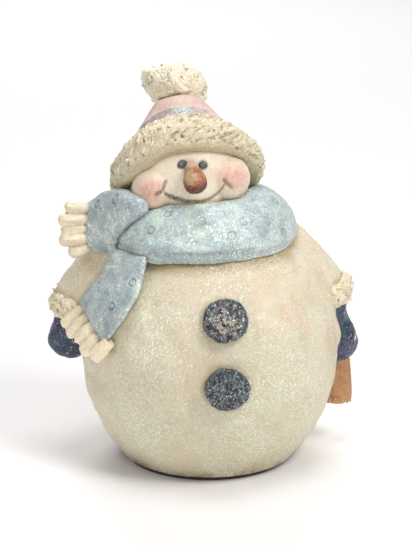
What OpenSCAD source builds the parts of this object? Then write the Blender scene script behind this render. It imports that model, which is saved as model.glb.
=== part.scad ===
// Chubby snowman figurine: a hollow cast body on a felt pad, a head looking up, a bobble hat
// with a fur brim, a wrapped scarf with fringed ends, mittened arms, and a broom in one hand.
// Millimetres. The figure faces -Y and stands on z = 0, and left and right are its own.

/* [Body] */
// Largest radius of the body ball
body_r = 47; // [44:0.5:50]
// Height of the body's widest ring above the surface it stands on
body_mid_z = 43; // [40:0.5:46]
// Thickness of the body's cast wall
wall = 5; // [3:0.5:7]
// Thickness of the felt pad
pad_t = 1.5; // [1:0.25:3]

/* [Head] */
// Radius of the head
head_r = 22.5; // [21:0.5:24]
// How far the head tips back
head_pitch = 28; // [20:1:32]
// How far the head leans to the figure's right
head_roll = 6; // [0:1:8]

/* [Hat] */
// How far the hat tips back
hat_pitch = 45; // [40:1:50]
// Outer radius of the fur brim
brim_r = 28.6; // [28:0.1:29.5]
// Widest radius of the bobble
bobble_r = 11.7; // [10:0.1:12.5]

/* [Scarf] */
// Outer radius of the wrap
wrap_r = 34.7; // [33:0.1:36]
// Thickness of the hanging tail and its fringe
tail_t = 4.5; // [3.5:0.5:5]

/* [Buttons] */
// Radius of a coal button
button_r = 8.1; // [7:0.1:9]
// Height of the upper button
upper_button_z = 64.5; // [60:0.5:68]
// Height of the lower button
lower_button_z = 41; // [36:0.5:43]

/* [Hidden] */

$fn = 64;
blend_fn = 32;
far = 200;

// Body
body_rise = 53;      // from the widest ring to where the ball would close at the top
body_drop = 57.5;    // from the widest ring to where it would close below
neck_z = 89;         // the flat that the head stands on
floor_t = 6;
roof_t = 12;
hole_r = 12;         // filling hole in the base
rebate_r = 16;
rebate_t = 2;
pad_r = 31;
stud_r = 2.5;        // the peg behind each button

// Head
head_at = [-7.5, 1, 108];
head_yaw = -1.5;
dowel_r = 4;
dowel_z = [77.5, 101.5];
eye_r = 1.7;
right_eye_at = [-3.1, -2.9];   // across and up from the middle of the face
left_eye_at = [4.2, -4.1];
cheek_r = 9;
cheek_x = 12.2;
nose_peg_r = 1.8;

// Hat
hat_roll = 6;
hat_yaw = -3.5;
head_flat = 11;      // the head is flat on top, under the crown
bend_z = 12;         // where the crown bends up, above the middle of the head
tip_bend = 16;
knee_r = 19.4;
crown_top = 17.5;    // these heights are above the bend
bobble_z = 23.9;
bobble_half_h = 7.9;
peg_r = 2;
peg_z = [6.7, 24];

// Scarf
wrap_at = [-2.4, 0, 0];
tail_face = [74, 0, -8];   // turns the tail's drawing plane to face its own quarter of the ball

// Arms, given from shoulder to wrist and on to the middle of the fist
right_shoulder = [-30, 4, 84];
right_wrist = [-47.5, 5.5, 59];
right_fist = [-50.6, 6, 45.8];
left_shoulder = [29, 3, 78];
left_wrist = [44.4, 3.5, 61.5];
left_fist = [49.8, 6.5, 38.6];
shoulder_r = 11.5;
wrist_r = 8.5;
fist_r = [8.4, 8];    // right hand, then the left hand that holds the broom
cuff_r = 7;
cuff_half = 4.2;
pin_r = 1.2;
pin_length = 10.5;
right_pin_at = [-31, 4, 76];    // inner end, in the body's wall
left_pin_at = [35.5, 4, 68];

// Broom
straw_foot = [49.5, 1, 18];
straw_head = [50, 6, 31.5];
handle_top = [46.5, 16, 68];
straw_r = [6.6, 5.8];
handle_r = 1.8;

// Points on the ball's outline between two heights, the ball grown by g.
function ball_angle(z, g) = asin((z - body_mid_z) / ((z < body_mid_z ? body_drop : body_rise) + g));
function ball_outline(g, z0, z1, n = 26) =
    let (a0 = ball_angle(z0, g), a1 = ball_angle(z1, g))
    concat([[0, z0]],
        [for (i = [0:n]) let (a = a0 + (a1 - a0) * i / n)
            [(body_r + g) * cos(a), body_mid_z + ((a < 0 ? body_drop : body_rise) + g) * sin(a)]],
        [[0, z1]]);
function ball_radius(z) = body_r * cos(ball_angle(z, 0));
// Half of an upright ellipse, to turn into a squashed ball.
function half_ellipse(a, b, n = 24) = [for (i = [0:n]) let (t = -90 + 180 * i / n) [a * cos(t), b * sin(t)]];
function whole_ellipse(a, b, n = 24) = [for (i = [0:n - 1]) let (t = 360 * i / n) [a * cos(t), b * sin(t)]];
// Outline of a limb standing on its axis: a ball of radius p at 0, a ball of radius q at h.
function limb_outline(p, q, h, n = 9) =
    let (t = asin((p - q) / h))
    concat([for (i = [0:n]) let (a = -90 + (t + 90) * i / n) [p * cos(a), p * sin(a)]],
        [for (i = [0:n]) let (a = t + (90 - t) * i / n) [q * cos(a), h + q * sin(a)]]);

// Frames
module in_head() translate(head_at) rotate([-head_pitch, -head_roll, head_yaw]) children();
module in_hat() translate(head_at) rotate([-hat_pitch, -hat_roll, hat_yaw]) children();
module in_hat_tip() in_hat() translate([0, 0, bend_z]) rotate([tip_bend, 0, 0]) children();
// Stands children's +Z along the line from p to q, at p.
module along(p, q) {
    d = q - p;
    translate(p) rotate([0, acos(d.z / norm(d)), atan2(d.y, d.x)]) children();
}
// Puts children's +Z square to the ball's front at height z.
module on_front(z) {
    r = ball_radius(z);
    half = z < body_mid_z ? body_drop : body_rise;
    tilt = atan2(r * pow(half / body_r, 2), z - body_mid_z);
    translate([0, -r, z]) rotate([tilt, 0, 0]) children();
}
// A limb from p to q: round at both ends, tapering between.
module limb(p, q, rp, rq) along(p, q) rotate_extrude($fn = blend_fn)
    polygon(limb_outline(rp, rq, norm(q - p)));

// Blanks: whole outer shapes, before they are cut to sit against each other.
module ball_blank(g = 0) rotate_extrude() polygon(ball_outline(g, pad_t, neck_z + g));
module head_blank() difference() {
    union() {
        translate(head_at) sphere(head_r);
        in_head() for (s = [-1, 1]) translate([s * cheek_x, -10.5, -7]) sphere(cheek_r);
    }
    translate([-far / 2, -far / 2, neck_z - far]) cube(far);
    in_hat() translate([-far / 2, -far / 2, head_flat]) cube(far);
}
module crown_blank() {
    in_hat() rotate_extrude() polygon([[0, 0], [24.2, 0], [23.6, 4], [22, 8], [knee_r, bend_z],
        [0, bend_z]]);
    in_hat_tip() rotate_extrude() polygon([[0, -6], [17, -6], [18.7, -0.4], [18, 3.6], [15.2, 7.6],
        [12.1, 11.6], [9.8, 14.8], [8.5, 16.2], [6, crown_top], [0, crown_top]]);
}
module brim_blank() in_hat() rotate_extrude() polygon([[19, -2.6], [21.8, -4.6], [25, -4.7],
    [brim_r - 1, -3.4], [brim_r - 0.2, -1.4], [brim_r, 0.4], [brim_r - 1.1, 3], [brim_r - 3.4, 6],
    [brim_r - 5.6, 8.8], [brim_r - 7.6, 11], [19.4, 12.6], [18, 13], [16, 11.5], [17, 4]]);
module wrap_blank() translate(wrap_at) rotate_extrude()
    polygon([[12, 84], [16, 99.8], [20, 101.8], [24.5, 100.9], [29, 97.6], [32.5, 93.3], [wrap_r, 88],
        [wrap_r - 0.4, 84], [wrap_r - 2, 81], [30.5, 79.6], [26, 80]]);
module right_arm_blank(g = 0) limb(right_shoulder, right_wrist, shoulder_r + g, wrist_r + g);
module left_arm_blank() limb(left_shoulder, left_wrist, shoulder_r, wrist_r);
module cuff_blank(wrist, fist) along(wrist, fist) translate([0, 0, 1.2]) rotate_extrude()
    translate([cuff_r, 0]) polygon(whole_ellipse(cuff_half, cuff_half + 0.8));
module right_mitten_blank(g = 0) limb(right_wrist, right_fist, 7 + g, fist_r[0] + g);
module left_mitten_blank() limb(left_wrist, left_fist, 7.4, fist_r[1]);
module handle_blank() along(straw_head, handle_top) translate([0, 0, -4])
    cylinder(r = handle_r, h = norm(handle_top - straw_head) + 4);

// Body
module body_sockets() {
    translate([head_at.x, head_at.y, neck_z - roof_t - 1]) cylinder(r = dowel_r, h = roof_t + 2);
    for (z = [upper_button_z, lower_button_z]) button_stud(z, 8);
    right_pin();
    left_pin();
}
module body_shell() color("ivory") difference() {
    ball_blank();
    rotate_extrude() polygon(ball_outline(-wall, pad_t + floor_t, neck_z - roof_t));
    translate([0, 0, pad_t - 1]) cylinder(r = hole_r, h = floor_t + 2);
    translate([0, 0, pad_t - 1]) cylinder(r = rebate_r, h = rebate_t + 1);
    body_sockets();
}
module base_plug() color("gainsboro") translate([0, 0, pad_t]) {
    cylinder(r = rebate_r, h = rebate_t);
    cylinder(r = hole_r, h = floor_t);
}
module felt_pad() color("darkslategray") cylinder(r = pad_r, h = pad_t);
module neck_dowel() color("burlywood") translate([head_at.x, head_at.y, dowel_z[0]])
    cylinder(r = dowel_r, h = dowel_z[1] - dowel_z[0]);
module right_pin() translate(right_pin_at) rotate([0, -90, 0]) cylinder(r = pin_r, h = pin_length);
module left_pin() translate(left_pin_at) rotate([0, 90, 0]) cylinder(r = pin_r, h = pin_length);
module right_arm_pin() color("silver") right_pin();
module left_arm_pin() color("silver") left_pin();
module button_stud(z, h) on_front(z) translate([0, 0, -4]) cylinder(r = stud_r, h = h);
module button(z) color("darkslategray") {
    difference() {
        on_front(z) rotate_extrude() polygon([[0, -3], [button_r, -3], [button_r, 2.2],
            [button_r - 0.7, 3.6], [button_r - 2, 4.3], [4, 4], [0, 3.6]]);
        ball_blank();
    }
    button_stud(z, 6);
}
module upper_button() button(upper_button_z);
module lower_button() button(lower_button_z);

// Head
module nose_peg() in_head() translate([0, -26, -9]) rotate([-90, 0, 0]) cylinder(r = nose_peg_r, h = 11);
module eye(at) in_head() translate([at.x, -sqrt(pow(head_r, 2) - pow(at.x, 2) - pow(at.y, 2)), at.y])
    sphere(eye_r);
module eyes() {
    eye(right_eye_at);
    eye(left_eye_at);
}
module head() color("ivory") difference() {
    head_blank();
    translate([head_at.x, head_at.y, neck_z - 1]) cylinder(r = dowel_r, h = dowel_z[1] - neck_z + 1.5);
    nose_peg();
    eyes();
    bobble_peg();
}
module right_eye() color("darkslategray") eye(right_eye_at);
module left_eye() color("darkslategray") eye(left_eye_at);
module nose() color("chocolate") {
    difference() {
        in_head() limb([0, -22, -4], [0.2, -25.6, -10.9], 2.1, 4.2);
        head_blank();
        eyes();
    }
    nose_peg();
}

// Hat
module hat_crown() color("pink") difference() {
    crown_blank();
    head_blank();
    bobble_peg();
}
module hat_brim() color("antiquewhite") difference() {
    brim_blank();
    head_blank();
    crown_blank();
}
module bobble() color("antiquewhite") difference() {
    in_hat_tip() translate([0, 0, bobble_z]) rotate_extrude()
        polygon(half_ellipse(bobble_r, bobble_half_h));
    crown_blank();
    bobble_peg();
}
module bobble_peg() color("burlywood") in_hat_tip() translate([0, 0, peg_z[0]])
    cylinder(r = peg_r, h = peg_z[1] - peg_z[0]);

// Scarf
module scarf_wrap() color("lightblue") difference() {
    wrap_blank();
    ball_blank();
    head_blank();
    brim_blank();
}
module short_end_blank() hull() {
    for (p = [[-42.4, -0.5, 93.6], [-41.7, -2.6, 84.5], [-36.8, -3.4, 98.6], [-31.8, -10.5, 100.6],
            [-34.6, -9.8, 88.4]])
        translate(p) sphere(4, $fn = 24);
    translate([-26.8, -16.6, 100.4]) sphere(3.2, $fn = 24);
}
module scarf_short_end() color("lightblue") difference() {
    short_end_blank();
    wrap_blank();
    head_blank();
    brim_blank();
    right_arm_blank();
    ball_blank();
}
module short_fringe() color("antiquewhite") difference() {
    for (i = [0:4]) limb([-44.5, -1.2 - 0.4 * i, 95 - 3.1 * i],
        [-52.5 - 2.4 * sin(45 * i), -1.6 - 0.4 * i, 96.5 - 4 * i], 2.2, 2.1);
    short_end_blank();
    right_arm_blank();
}
// A layer of even thickness lying on the ball and the right arm, cut to an outline.
module draped(t) difference() {
    intersection() {
        union() {
            ball_blank(t);
            right_arm_blank(t);
            right_mitten_blank(t - 0.8);
        }
        rotate(tail_face) translate([0, 0, 14]) linear_extrude(70) children();
    }
    ball_blank();
    right_arm_blank();
    right_mitten_blank();
}
module long_end_outline() polygon([[-36, 78], [-21.5, 76], [-22.6, 67.5], [-24.8, 58.8], [-29.3, 51.3],
    [-36.5, 41.8], [-43.3, 52.5], [-46.3, 56.6], [-40, 63.7], [-34.6, 72.5]]);
module long_fringe_outline() for (i = [0:4]) hull() {
    translate([-45 + 2.1 * i, 54.4 - 3.1 * i]) circle(2.3);
    translate([-53.5 + 2.9 * i, 46.5 - 2.6 * i]) circle(2);
}
module scarf_long_end() color("lightblue") difference() {
    draped(tail_t) long_end_outline();
    wrap_blank();
}
module long_fringe() color("antiquewhite") difference() {
    draped(tail_t - 0.3) long_fringe_outline();
    rotate(tail_face) linear_extrude(90) long_end_outline();
    cuff_blank(right_wrist, right_fist);
}

// Arms
module right_arm() color("ivory") difference() {
    right_arm_blank();
    ball_blank();
    wrap_blank();
    right_pin();
}
module left_arm() color("ivory") difference() {
    left_arm_blank();
    ball_blank();
    wrap_blank();
    left_pin();
}
module right_cuff() color("antiquewhite") difference() {
    cuff_blank(right_wrist, right_fist);
    right_arm_blank();
    right_mitten_blank();
    ball_blank();
}
module left_cuff() color("antiquewhite") difference() {
    cuff_blank(left_wrist, left_fist);
    left_arm_blank();
    left_mitten_blank();
    ball_blank();
    handle_blank();
}
module right_mitten() color("darkslateblue") difference() {
    right_mitten_blank();
    right_arm_blank();
    ball_blank();
}
module left_mitten() color("darkslateblue") difference() {
    left_mitten_blank();
    left_arm_blank();
    ball_blank();
    handle_blank();
}

// Broom
module broom_handle() color("peru") difference() {
    handle_blank();
    left_arm_blank();
}
module broom_straw() color("peru") difference() {
    along(straw_foot, straw_head)
        cylinder(r1 = straw_r[0], r2 = straw_r[1], h = norm(straw_head - straw_foot));
    ball_blank();
    left_mitten_blank();
    handle_blank();
}

body_shell();
base_plug();
felt_pad();
neck_dowel();
head();
right_eye();
left_eye();
nose();
hat_crown();
hat_brim();
bobble();
bobble_peg();
scarf_wrap();
scarf_short_end();
short_fringe();
scarf_long_end();
long_fringe();
right_arm();
left_arm();
right_arm_pin();
left_arm_pin();
right_cuff();
left_cuff();
right_mitten();
left_mitten();
upper_button();
lower_button();
broom_handle();
broom_straw();
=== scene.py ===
from math import cos, pi, radians, sin

import bmesh
import bpy
import numpy as np
from mathutils import Euler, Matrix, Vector
from mathutils.bvhtree import BVHTree


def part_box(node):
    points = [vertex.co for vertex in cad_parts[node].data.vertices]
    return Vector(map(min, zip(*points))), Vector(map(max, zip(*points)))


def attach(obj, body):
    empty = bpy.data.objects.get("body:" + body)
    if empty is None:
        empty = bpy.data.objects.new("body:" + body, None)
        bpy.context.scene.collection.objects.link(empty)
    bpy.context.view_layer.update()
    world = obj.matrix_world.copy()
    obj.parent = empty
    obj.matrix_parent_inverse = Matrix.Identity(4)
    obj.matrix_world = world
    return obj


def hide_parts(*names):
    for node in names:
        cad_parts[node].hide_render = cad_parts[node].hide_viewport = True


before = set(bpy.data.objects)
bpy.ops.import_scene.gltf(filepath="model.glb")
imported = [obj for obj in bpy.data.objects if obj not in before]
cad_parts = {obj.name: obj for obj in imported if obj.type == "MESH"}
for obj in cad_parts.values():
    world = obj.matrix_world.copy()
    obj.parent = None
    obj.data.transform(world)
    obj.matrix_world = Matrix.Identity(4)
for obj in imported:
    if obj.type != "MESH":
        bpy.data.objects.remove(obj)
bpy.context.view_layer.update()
mm = 0.001          # everything below is thought of in millimetres
body = "root"

# places shared by several pieces, in the part's own frame
place = {
    "head": (-7.5, 1.0, 108.0),
    "headTurn": (-28.0, -6.0, -1.5),
    "hatTurn": (-45.0, -6.0, -3.5),
    "rightShoulder": (-30.0, 4.0, 84.0),
    "rightWrist": (-47.5, 5.5, 59.0),
    "leftShoulder": (29.0, 3.0, 78.0),
    "leftWrist": (44.4, 3.5, 61.5),
    "leftFist": (49.8, 6.5, 38.6),
    "scarfMiddle": (-2.4, 0.0),
    "tailFace": (74.0, 0.0, -8.0),   # the tail's outline is drawn on a plane that leans like this
}


# ---- mesh helpers
def turned(angles):
    return np.array(Euler([radians(a) for a in angles], "XYZ").to_matrix())


headAxes = turned(place["headTurn"])
hatAxes = turned(place["hatTurn"])
tailAxes = turned(place["tailFace"])
headAt = np.array(place["head"])


def toLocal(points, axes, origin=headAt):
    return (points - origin) @ axes


# degrees round the hat from its front, positive on the figure's left
def roundHat(near):
    return np.degrees(np.arctan2(near[:, 0], -near[:, 1]))


def clamp(values):
    return np.clip(values, 0, 1)


def bell(values):
    return np.exp(-values ** 2)


# a soft round spot, fading outwards
def spot(across, up, wide, tall):
    return np.exp(-((across / wide) ** 2 + (up / tall) ** 2))


def sizes(vectors):
    return np.linalg.norm(vectors, axis=1)


def unit(vectors):
    return vectors / np.maximum(sizes(vectors), 1e-6)[:, None]


def onCircle(turn):
    return np.stack([np.cos(turn), np.sin(turn), turn * 0], -1)


def boxOf(node):
    return (np.array(corner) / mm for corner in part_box(node))


def vectorsOf(items, key):
    flat = np.empty(len(items) * 3, np.float32)
    items.foreach_get(key, flat)
    return flat.reshape(-1, 3).astype(float)


def pointsOf(ob):
    return vectorsOf(ob.data.vertices, "co") / mm


def normalsOf(ob):
    return vectorsOf(ob.data.vertex_normals, "vector")


def skinOf(ob):
    return pointsOf(ob), normalsOf(ob)


def setPoints(ob, points):
    ob.data.vertices.foreach_set("co", (points * mm).astype(np.float32).ravel())
    ob.data.update()


def edgesOf(ob):
    flat = np.empty(len(ob.data.edges) * 2, np.int32)
    ob.data.edges.foreach_get("vertices", flat)
    return flat.reshape(-1, 2)


def mark(ob, name, values):
    layer = ob.data.attributes.get(name) or ob.data.attributes.new(name, "FLOAT", "POINT")
    layer.data.foreach_set("value", clamp(values).astype(np.float32))


def build(name, points, faces):
    mesh = bpy.data.meshes.new(name)
    mesh.from_pydata((np.asarray(points) * mm).tolist(), [], faces)
    mesh.update()
    ob = bpy.data.objects.new(name, mesh)
    bpy.context.scene.collection.objects.link(ob)
    return ob


def applyModifiers(ob):
    seen = ob.evaluated_get(bpy.context.evaluated_depsgraph_get())
    mesh = bpy.data.meshes.new_from_object(seen)
    ob.modifiers.clear()
    old, ob.data = ob.data, mesh
    bpy.data.meshes.remove(old)


def remesh(ob, voxel):
    step = ob.modifiers.new("Remesh", "REMESH")
    step.mode = "VOXEL"
    step.voxel_size = voxel * mm
    applyModifiers(ob)


def relaxed(points, edges, rounds):
    count = np.bincount(edges.ravel(), minlength=len(points)).reshape(-1, 1)
    a, b = edges[:, 0], edges[:, 1]
    for _ in range(rounds):
        total = np.zeros_like(points)
        for axis in range(3):
            total[:, axis] = (np.bincount(a, points[b, axis], len(points))
                              + np.bincount(b, points[a, axis], len(points)))
        points = 0.5 * points + 0.5 * total / np.maximum(count, 1)
    return points


def soften(ob, rounds):
    setPoints(ob, relaxed(pointsOf(ob), edgesOf(ob), rounds))


# a fine, softened copy of a CAD node, to work on
def startPiece(node, name, voxel, rounds=0):
    ob = bpy.data.objects.new(name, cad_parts[node].data.copy())
    ob.data.materials.clear()
    bpy.context.scene.collection.objects.link(ob)
    remesh(ob, voxel)
    if rounds:
        soften(ob, rounds)
    return ob


def dropPoints(ob, which):
    mesh = bmesh.new()
    mesh.from_mesh(ob.data)
    mesh.verts.ensure_lookup_table()
    bmesh.ops.delete(mesh, geom=[mesh.verts[i] for i in np.flatnonzero(which)], context="VERTS")
    mesh.to_mesh(ob.data)
    mesh.free()


# hollows and ridges, read off the shape: where a brushed-on wash stays and where paint rubs off
def markHollows(ob, depth, rounds=14):
    points = pointsOf(ob)
    push = ((relaxed(points, edgesOf(ob), rounds) - points) * normalsOf(ob)).sum(1)
    mark(ob, "hollow", push / depth)
    mark(ob, "ridge", -push / depth)


# smooth random lumps between -1 and 1, about size across: each corner of a grid gets a number from its own
# place, mixed by large odd factors, and the numbers are blended between the corners
gridFactors = np.array([73856093, 19349663, 83492791])


def lumps(points, size, seed, detail=1):
    total = np.zeros(len(points))
    for octave in range(detail):
        q = points / size * 2 ** octave + seed * 17.31
        cell = np.floor(q).astype(np.int64)
        t = q - cell
        t = t * t * t * (t * (t * 6 - 15) + 10)
        for corner in range(8):
            step = np.array([corner & 1, corner >> 1 & 1, corner >> 2 & 1])
            key = (cell + step) @ gridFactors
            key = (key ^ (key >> 13)) * 1274126177 & 0x7FFFFFFF
            value = (key ^ (key >> 16)) % 20011 / 10005.5 - 1
            total += value * np.prod(np.where(step, t, 1 - t), axis=1) / 2 ** octave
    return total


def waved(points, waves, seed):
    return sum(height * lumps(points, size, seed + n) for n, (size, height) in enumerate(waves))


def roughen(ob, seed, waves):
    points, out = skinOf(ob)
    setPoints(ob, points + out * waved(points, waves, seed)[:, None])


# lumps drawn out into strokes along a field of directions
def combed(points, way, size, length, seed, steps=9):
    total = sum(lumps(points + way * (t * length), size, seed) for t in np.linspace(-0.5, 0.5, steps))
    return total / steps ** 0.5


def treeOf(*nodes):
    points, faces = [], []
    for name in nodes:
        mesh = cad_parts[name].data
        start = len(points)
        points += [v.co / mm for v in mesh.vertices]
        faces += [[start + v for v in p.vertices] for p in mesh.polygons]
    return BVHTree.FromPolygons(points, faces)


# distance from each point to the tree, with the direction away from it, no further than reach
def nearness(points, tree, reach):
    gap = np.full(len(points), reach)
    away = np.zeros_like(points)
    for n, p in enumerate(points):
        hit, _, _, d = tree.find_nearest(Vector(p), reach)
        if hit is not None:
            gap[n] = d
            away[n] = (p - np.array(hit)) / max(d, 1e-6)
    return gap, away


def closeTo(points, node, margin):
    lo, hi = boxOf(node)
    return np.all((points > lo - margin) & (points < hi + margin), axis=1)


# a dirt line painted into the joint with each neighbour
def markJoints(ob, nodes, reach, name="joint"):
    points = pointsOf(ob)
    value = np.zeros(len(points))
    for node in nodes:
        near = np.flatnonzero(closeTo(points, node, reach))
        gap, _ = nearness(points[near], treeOf(node), reach)
        value[near] = np.maximum(value[near], 1 - gap / reach)
    mark(ob, name, value)


# quads between rows of points, each row closed; wrapped joins the last row to the first
def gridFaces(rows, cols, wrapped=False, flipped=False):
    faces = []
    for i in range(rows if wrapped else rows - 1):
        low, high = i * cols, (i + 1) % rows * cols
        faces += [[low + j, low + (j + 1) % cols, high + (j + 1) % cols, high + j] for j in range(cols)]
    return [[a, d, c, b] for a, b, c, d in faces] if flipped else faces


# a ring of points around a path: tubes, tassels, tufts and straws
def tube(path, radii, sides=8, groove=None):
    path = np.asarray(path, float)
    along = unit(np.gradient(path, axis=0))
    helper = np.array([0.31, 0.12, 0.94]) if abs(along[0][2]) < 0.8 else np.array([0.9, 0.3, 0.1])
    side = unit(np.cross(along, helper))
    up = np.cross(side, along)
    turn = np.linspace(0, 2 * pi, sides, endpoint=False)
    points = []
    for n, centre in enumerate(path):
        scale = np.ones(sides) if groove is None else groove(turn, n / (len(path) - 1))
        r = radii[n] * scale
        points.append(centre + np.outer(r * np.cos(turn), side[n]) + np.outer(r * np.sin(turn), up[n]))
    rings = len(path)
    faces = gridFaces(rings, sides)
    faces.append(list(range(sides))[::-1])
    faces.append([(rings - 1) * sides + j for j in range(sides)])
    return np.vstack(points), faces


class Heap:
    # gathers many small shapes into one mesh
    def __init__(self):
        self.points, self.faces, self.count = [], [], 0

    def add(self, points, faces):
        self.points.append(points)
        self.faces += [[v + self.count for v in f] for f in faces]
        self.count += len(points)

    def made(self, name):
        return build(name, np.vstack(self.points), self.faces)


def bent(start, end, bow, count):
    t = np.linspace(0, 1, count)[:, None]
    return np.asarray(start) * (1 - t) + np.asarray(end) * t + np.asarray(bow) * 4 * t * (1 - t)


def addMesh(ob, other):
    points = np.vstack([pointsOf(ob), pointsOf(other)])
    start = len(ob.data.vertices)
    faces = [list(p.vertices) for p in ob.data.polygons]
    faces += [[v + start for v in p.vertices] for p in other.data.polygons]
    name = ob.name
    for old in (ob, other):
        mesh = old.data
        bpy.data.objects.remove(old)
        bpy.data.meshes.remove(mesh)
    return build(name, points, faces)


def capsule(name, start, end, startR, endR, rings=60, sides=96):
    start, end = np.array(start, float), np.array(end, float)
    length = np.linalg.norm(end - start)
    way = (end - start) / length
    lean = np.arcsin((startR - endR) / length)
    path, radii = [], []
    for t in np.linspace(-pi / 2 + 0.02, lean, rings // 3):
        path.append(start + way * startR * sin(t))
        radii.append(startR * cos(t))
    for t in np.linspace(0, 1, rings)[1:-1]:
        a = start + way * startR * sin(lean)
        b = end + way * endR * sin(lean)
        path.append(a * (1 - t) + b * t)
        radii.append((startR * (1 - t) + endR * t) * cos(lean))
    for t in np.linspace(lean, pi / 2 - 0.02, rings // 3):
        path.append(end + way * endR * sin(t))
        radii.append(endR * cos(t))
    return build(name, *tube(path, radii, sides))


def finishPiece(ob, slot, material, *nodes):
    ob.data.polygons.foreach_set("use_smooth", np.ones(len(ob.data.polygons), bool))
    ob.data.update()
    ob.data.materials.clear()
    ob.data.materials.append(material)
    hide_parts(*nodes)
    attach(ob, body)
    print("made", ob.name, len(ob.data.polygons), "faces")


# ---- shader helpers
def feed(tree, socket, value):
    if isinstance(value, bpy.types.NodeSocket):
        tree.links.new(value, socket)
    elif isinstance(value, (tuple, list)) and len(value) == 3 and socket.type == "RGBA":
        socket.default_value = (*value, 1)
    else:
        socket.default_value = value


def put(tree, kind, feeds, **settings):
    made = tree.nodes.new(kind)
    for key, value in settings.items():
        setattr(made, key, value)
    for key, value in feeds.items():
        feed(tree, made.inputs[key], value)
    return made


def calc(tree, operation, a, b=0.0, clamp=False):
    return put(tree, "ShaderNodeMath", {0: a, 1: b}, operation=operation, use_clamp=clamp).outputs[0]


def times(tree, a, b):
    return calc(tree, "MULTIPLY", a, b)


def blendColor(tree, amount, a, b):
    return put(tree, "ShaderNodeMix", {0: amount, 6: a, 7: b}, data_type="RGBA").outputs[2]


def stretch(tree, value, low, high, a=0.0, b=1.0):
    return put(tree, "ShaderNodeMapRange", {0: value, 1: low, 2: high, 3: a, 4: b}).outputs[0]


def places(tree):
    return put(tree, "ShaderNodeTexCoord", {}).outputs["Object"]


def cloud(tree, size, detail=3.0, rough=0.55, where=None):
    scale = size if isinstance(size, bpy.types.NodeSocket) else 1 / (size * mm)
    return put(tree, "ShaderNodeTexNoise", {"Scale": scale, "Detail": detail, "Roughness": rough,
                                            "Vector": where or places(tree)}).outputs[0]


def patches(tree, size, detail, rough, low, high, a=0.0, b=1.0):
    return stretch(tree, cloud(tree, size, detail, rough), low, high, a, b)


def attribute(tree, name):
    return put(tree, "ShaderNodeAttribute", {}, attribute_name=name).outputs["Fac"]


def bumped(tree, height, strength, deep):
    return put(tree, "ShaderNodeBump", {"Height": height, "Strength": strength, "Distance": deep * mm}).outputs[0]


# a colour laid over base: masks are attributes, or (attribute, power, raised by), or what patches takes
def glazed(tree, base, masks, amount, color, edges=None):
    total = 1.0
    for mask in masks:
        if isinstance(mask, str):
            found = attribute(tree, mask)
        elif isinstance(mask[0], str):
            power = calc(tree, "POWER", attribute(tree, mask[0]), mask[1])
            found = calc(tree, "ADD", power, mask[2])
        else:
            found = patches(tree, *mask)
        total = times(tree, found, total)
    if edges:
        total = stretch(tree, total, *edges)
    return blendColor(tree, times(tree, total, amount), base, color)


def newMaterial(name, roughness, **others):
    material = bpy.data.materials.new(name)
    material.use_nodes = True
    shader = material.node_tree.nodes["Principled BSDF"]
    for label, value in {"Roughness": roughness, **others}.items():
        shader.inputs[label.replace("_", " ")].default_value = value
    return material, material.node_tree, shader.inputs


def startGroup(name, inputs, outputs):
    group = bpy.data.node_groups.new(name, "ShaderNodeTree")
    for label, kind, value in inputs:
        socket = group.interface.new_socket(name=label, in_out="INPUT", socket_type="NodeSocket" + kind)
        if value is not None:
            socket.default_value = value
    for label, kind in outputs:
        group.interface.new_socket(name=label, in_out="OUTPUT", socket_type="NodeSocket" + kind)
    given = group.nodes.new("NodeGroupInput").outputs
    result = group.nodes.new("NodeGroupOutput").inputs
    return group, given, result


# loose flakes stuck on the paint: each is a small cell that leans its own way and has its own hue
def makeGlitter():
    group, given, result = startGroup(
        "glitter",
        [("Flakes Per Metre", "Float", 2800.0), ("Coverage", "Float", 0.3), ("Lean", "Float", 0.7),
         ("Normal", "Vector", None)],
        [("Mask", "Float"), ("Hue", "Color"), ("Glint", "Float"), ("Normal", "Vector")])
    cells = put(group, "ShaderNodeTexVoronoi", {"Vector": places(group), "Scale": given["Flakes Per Metre"]},
                voronoi_dimensions="3D", feature="F1")
    parts = put(group, "ShaderNodeSeparateColor", {0: cells.outputs["Color"]}).outputs
    least = calc(group, "SUBTRACT", 1.0, given["Coverage"])
    mask = calc(group, "GREATER_THAN", parts[0], least)
    mask = times(group, mask, calc(group, "LESS_THAN", cells.outputs["Distance"], 0.52))
    centred = put(group, "ShaderNodeVectorMath", {0: cells.outputs["Color"], 1: (0.5, 0.5, 0.5)},
                  operation="SUBTRACT").outputs[0]
    amount = times(group, given["Lean"], mask)
    tilt = put(group, "ShaderNodeVectorMath", {0: centred, "Scale": amount}, operation="SCALE").outputs[0]
    total = put(group, "ShaderNodeVectorMath", {0: given["Normal"], 1: tilt}, operation="ADD").outputs[0]
    unit = put(group, "ShaderNodeVectorMath", {0: total}, operation="NORMALIZE").outputs[0]
    hue = put(group, "ShaderNodeValToRGB", {0: parts[1]})
    stops = [(0.0, (0.98, 0.74, 0.74)), (0.22, (1.0, 0.95, 0.80)), (0.42, (0.60, 0.93, 0.86)),
             (0.62, (1.0, 1.0, 0.98)), (0.82, (0.74, 0.80, 0.98)), (1.0, (0.84, 0.98, 0.72))]
    ladder = hue.color_ramp.elements
    while len(ladder) < len(stops):
        ladder.new(0.5)
    for step, (at, color) in zip(ladder, stops):
        step.position, step.color = at, (*color, 1)
    for label, value in (("Mask", mask), ("Hue", hue.outputs[0]), ("Glint", parts[2]), ("Normal", unit)):
        feed(group, result[label], value)
    return group


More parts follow.
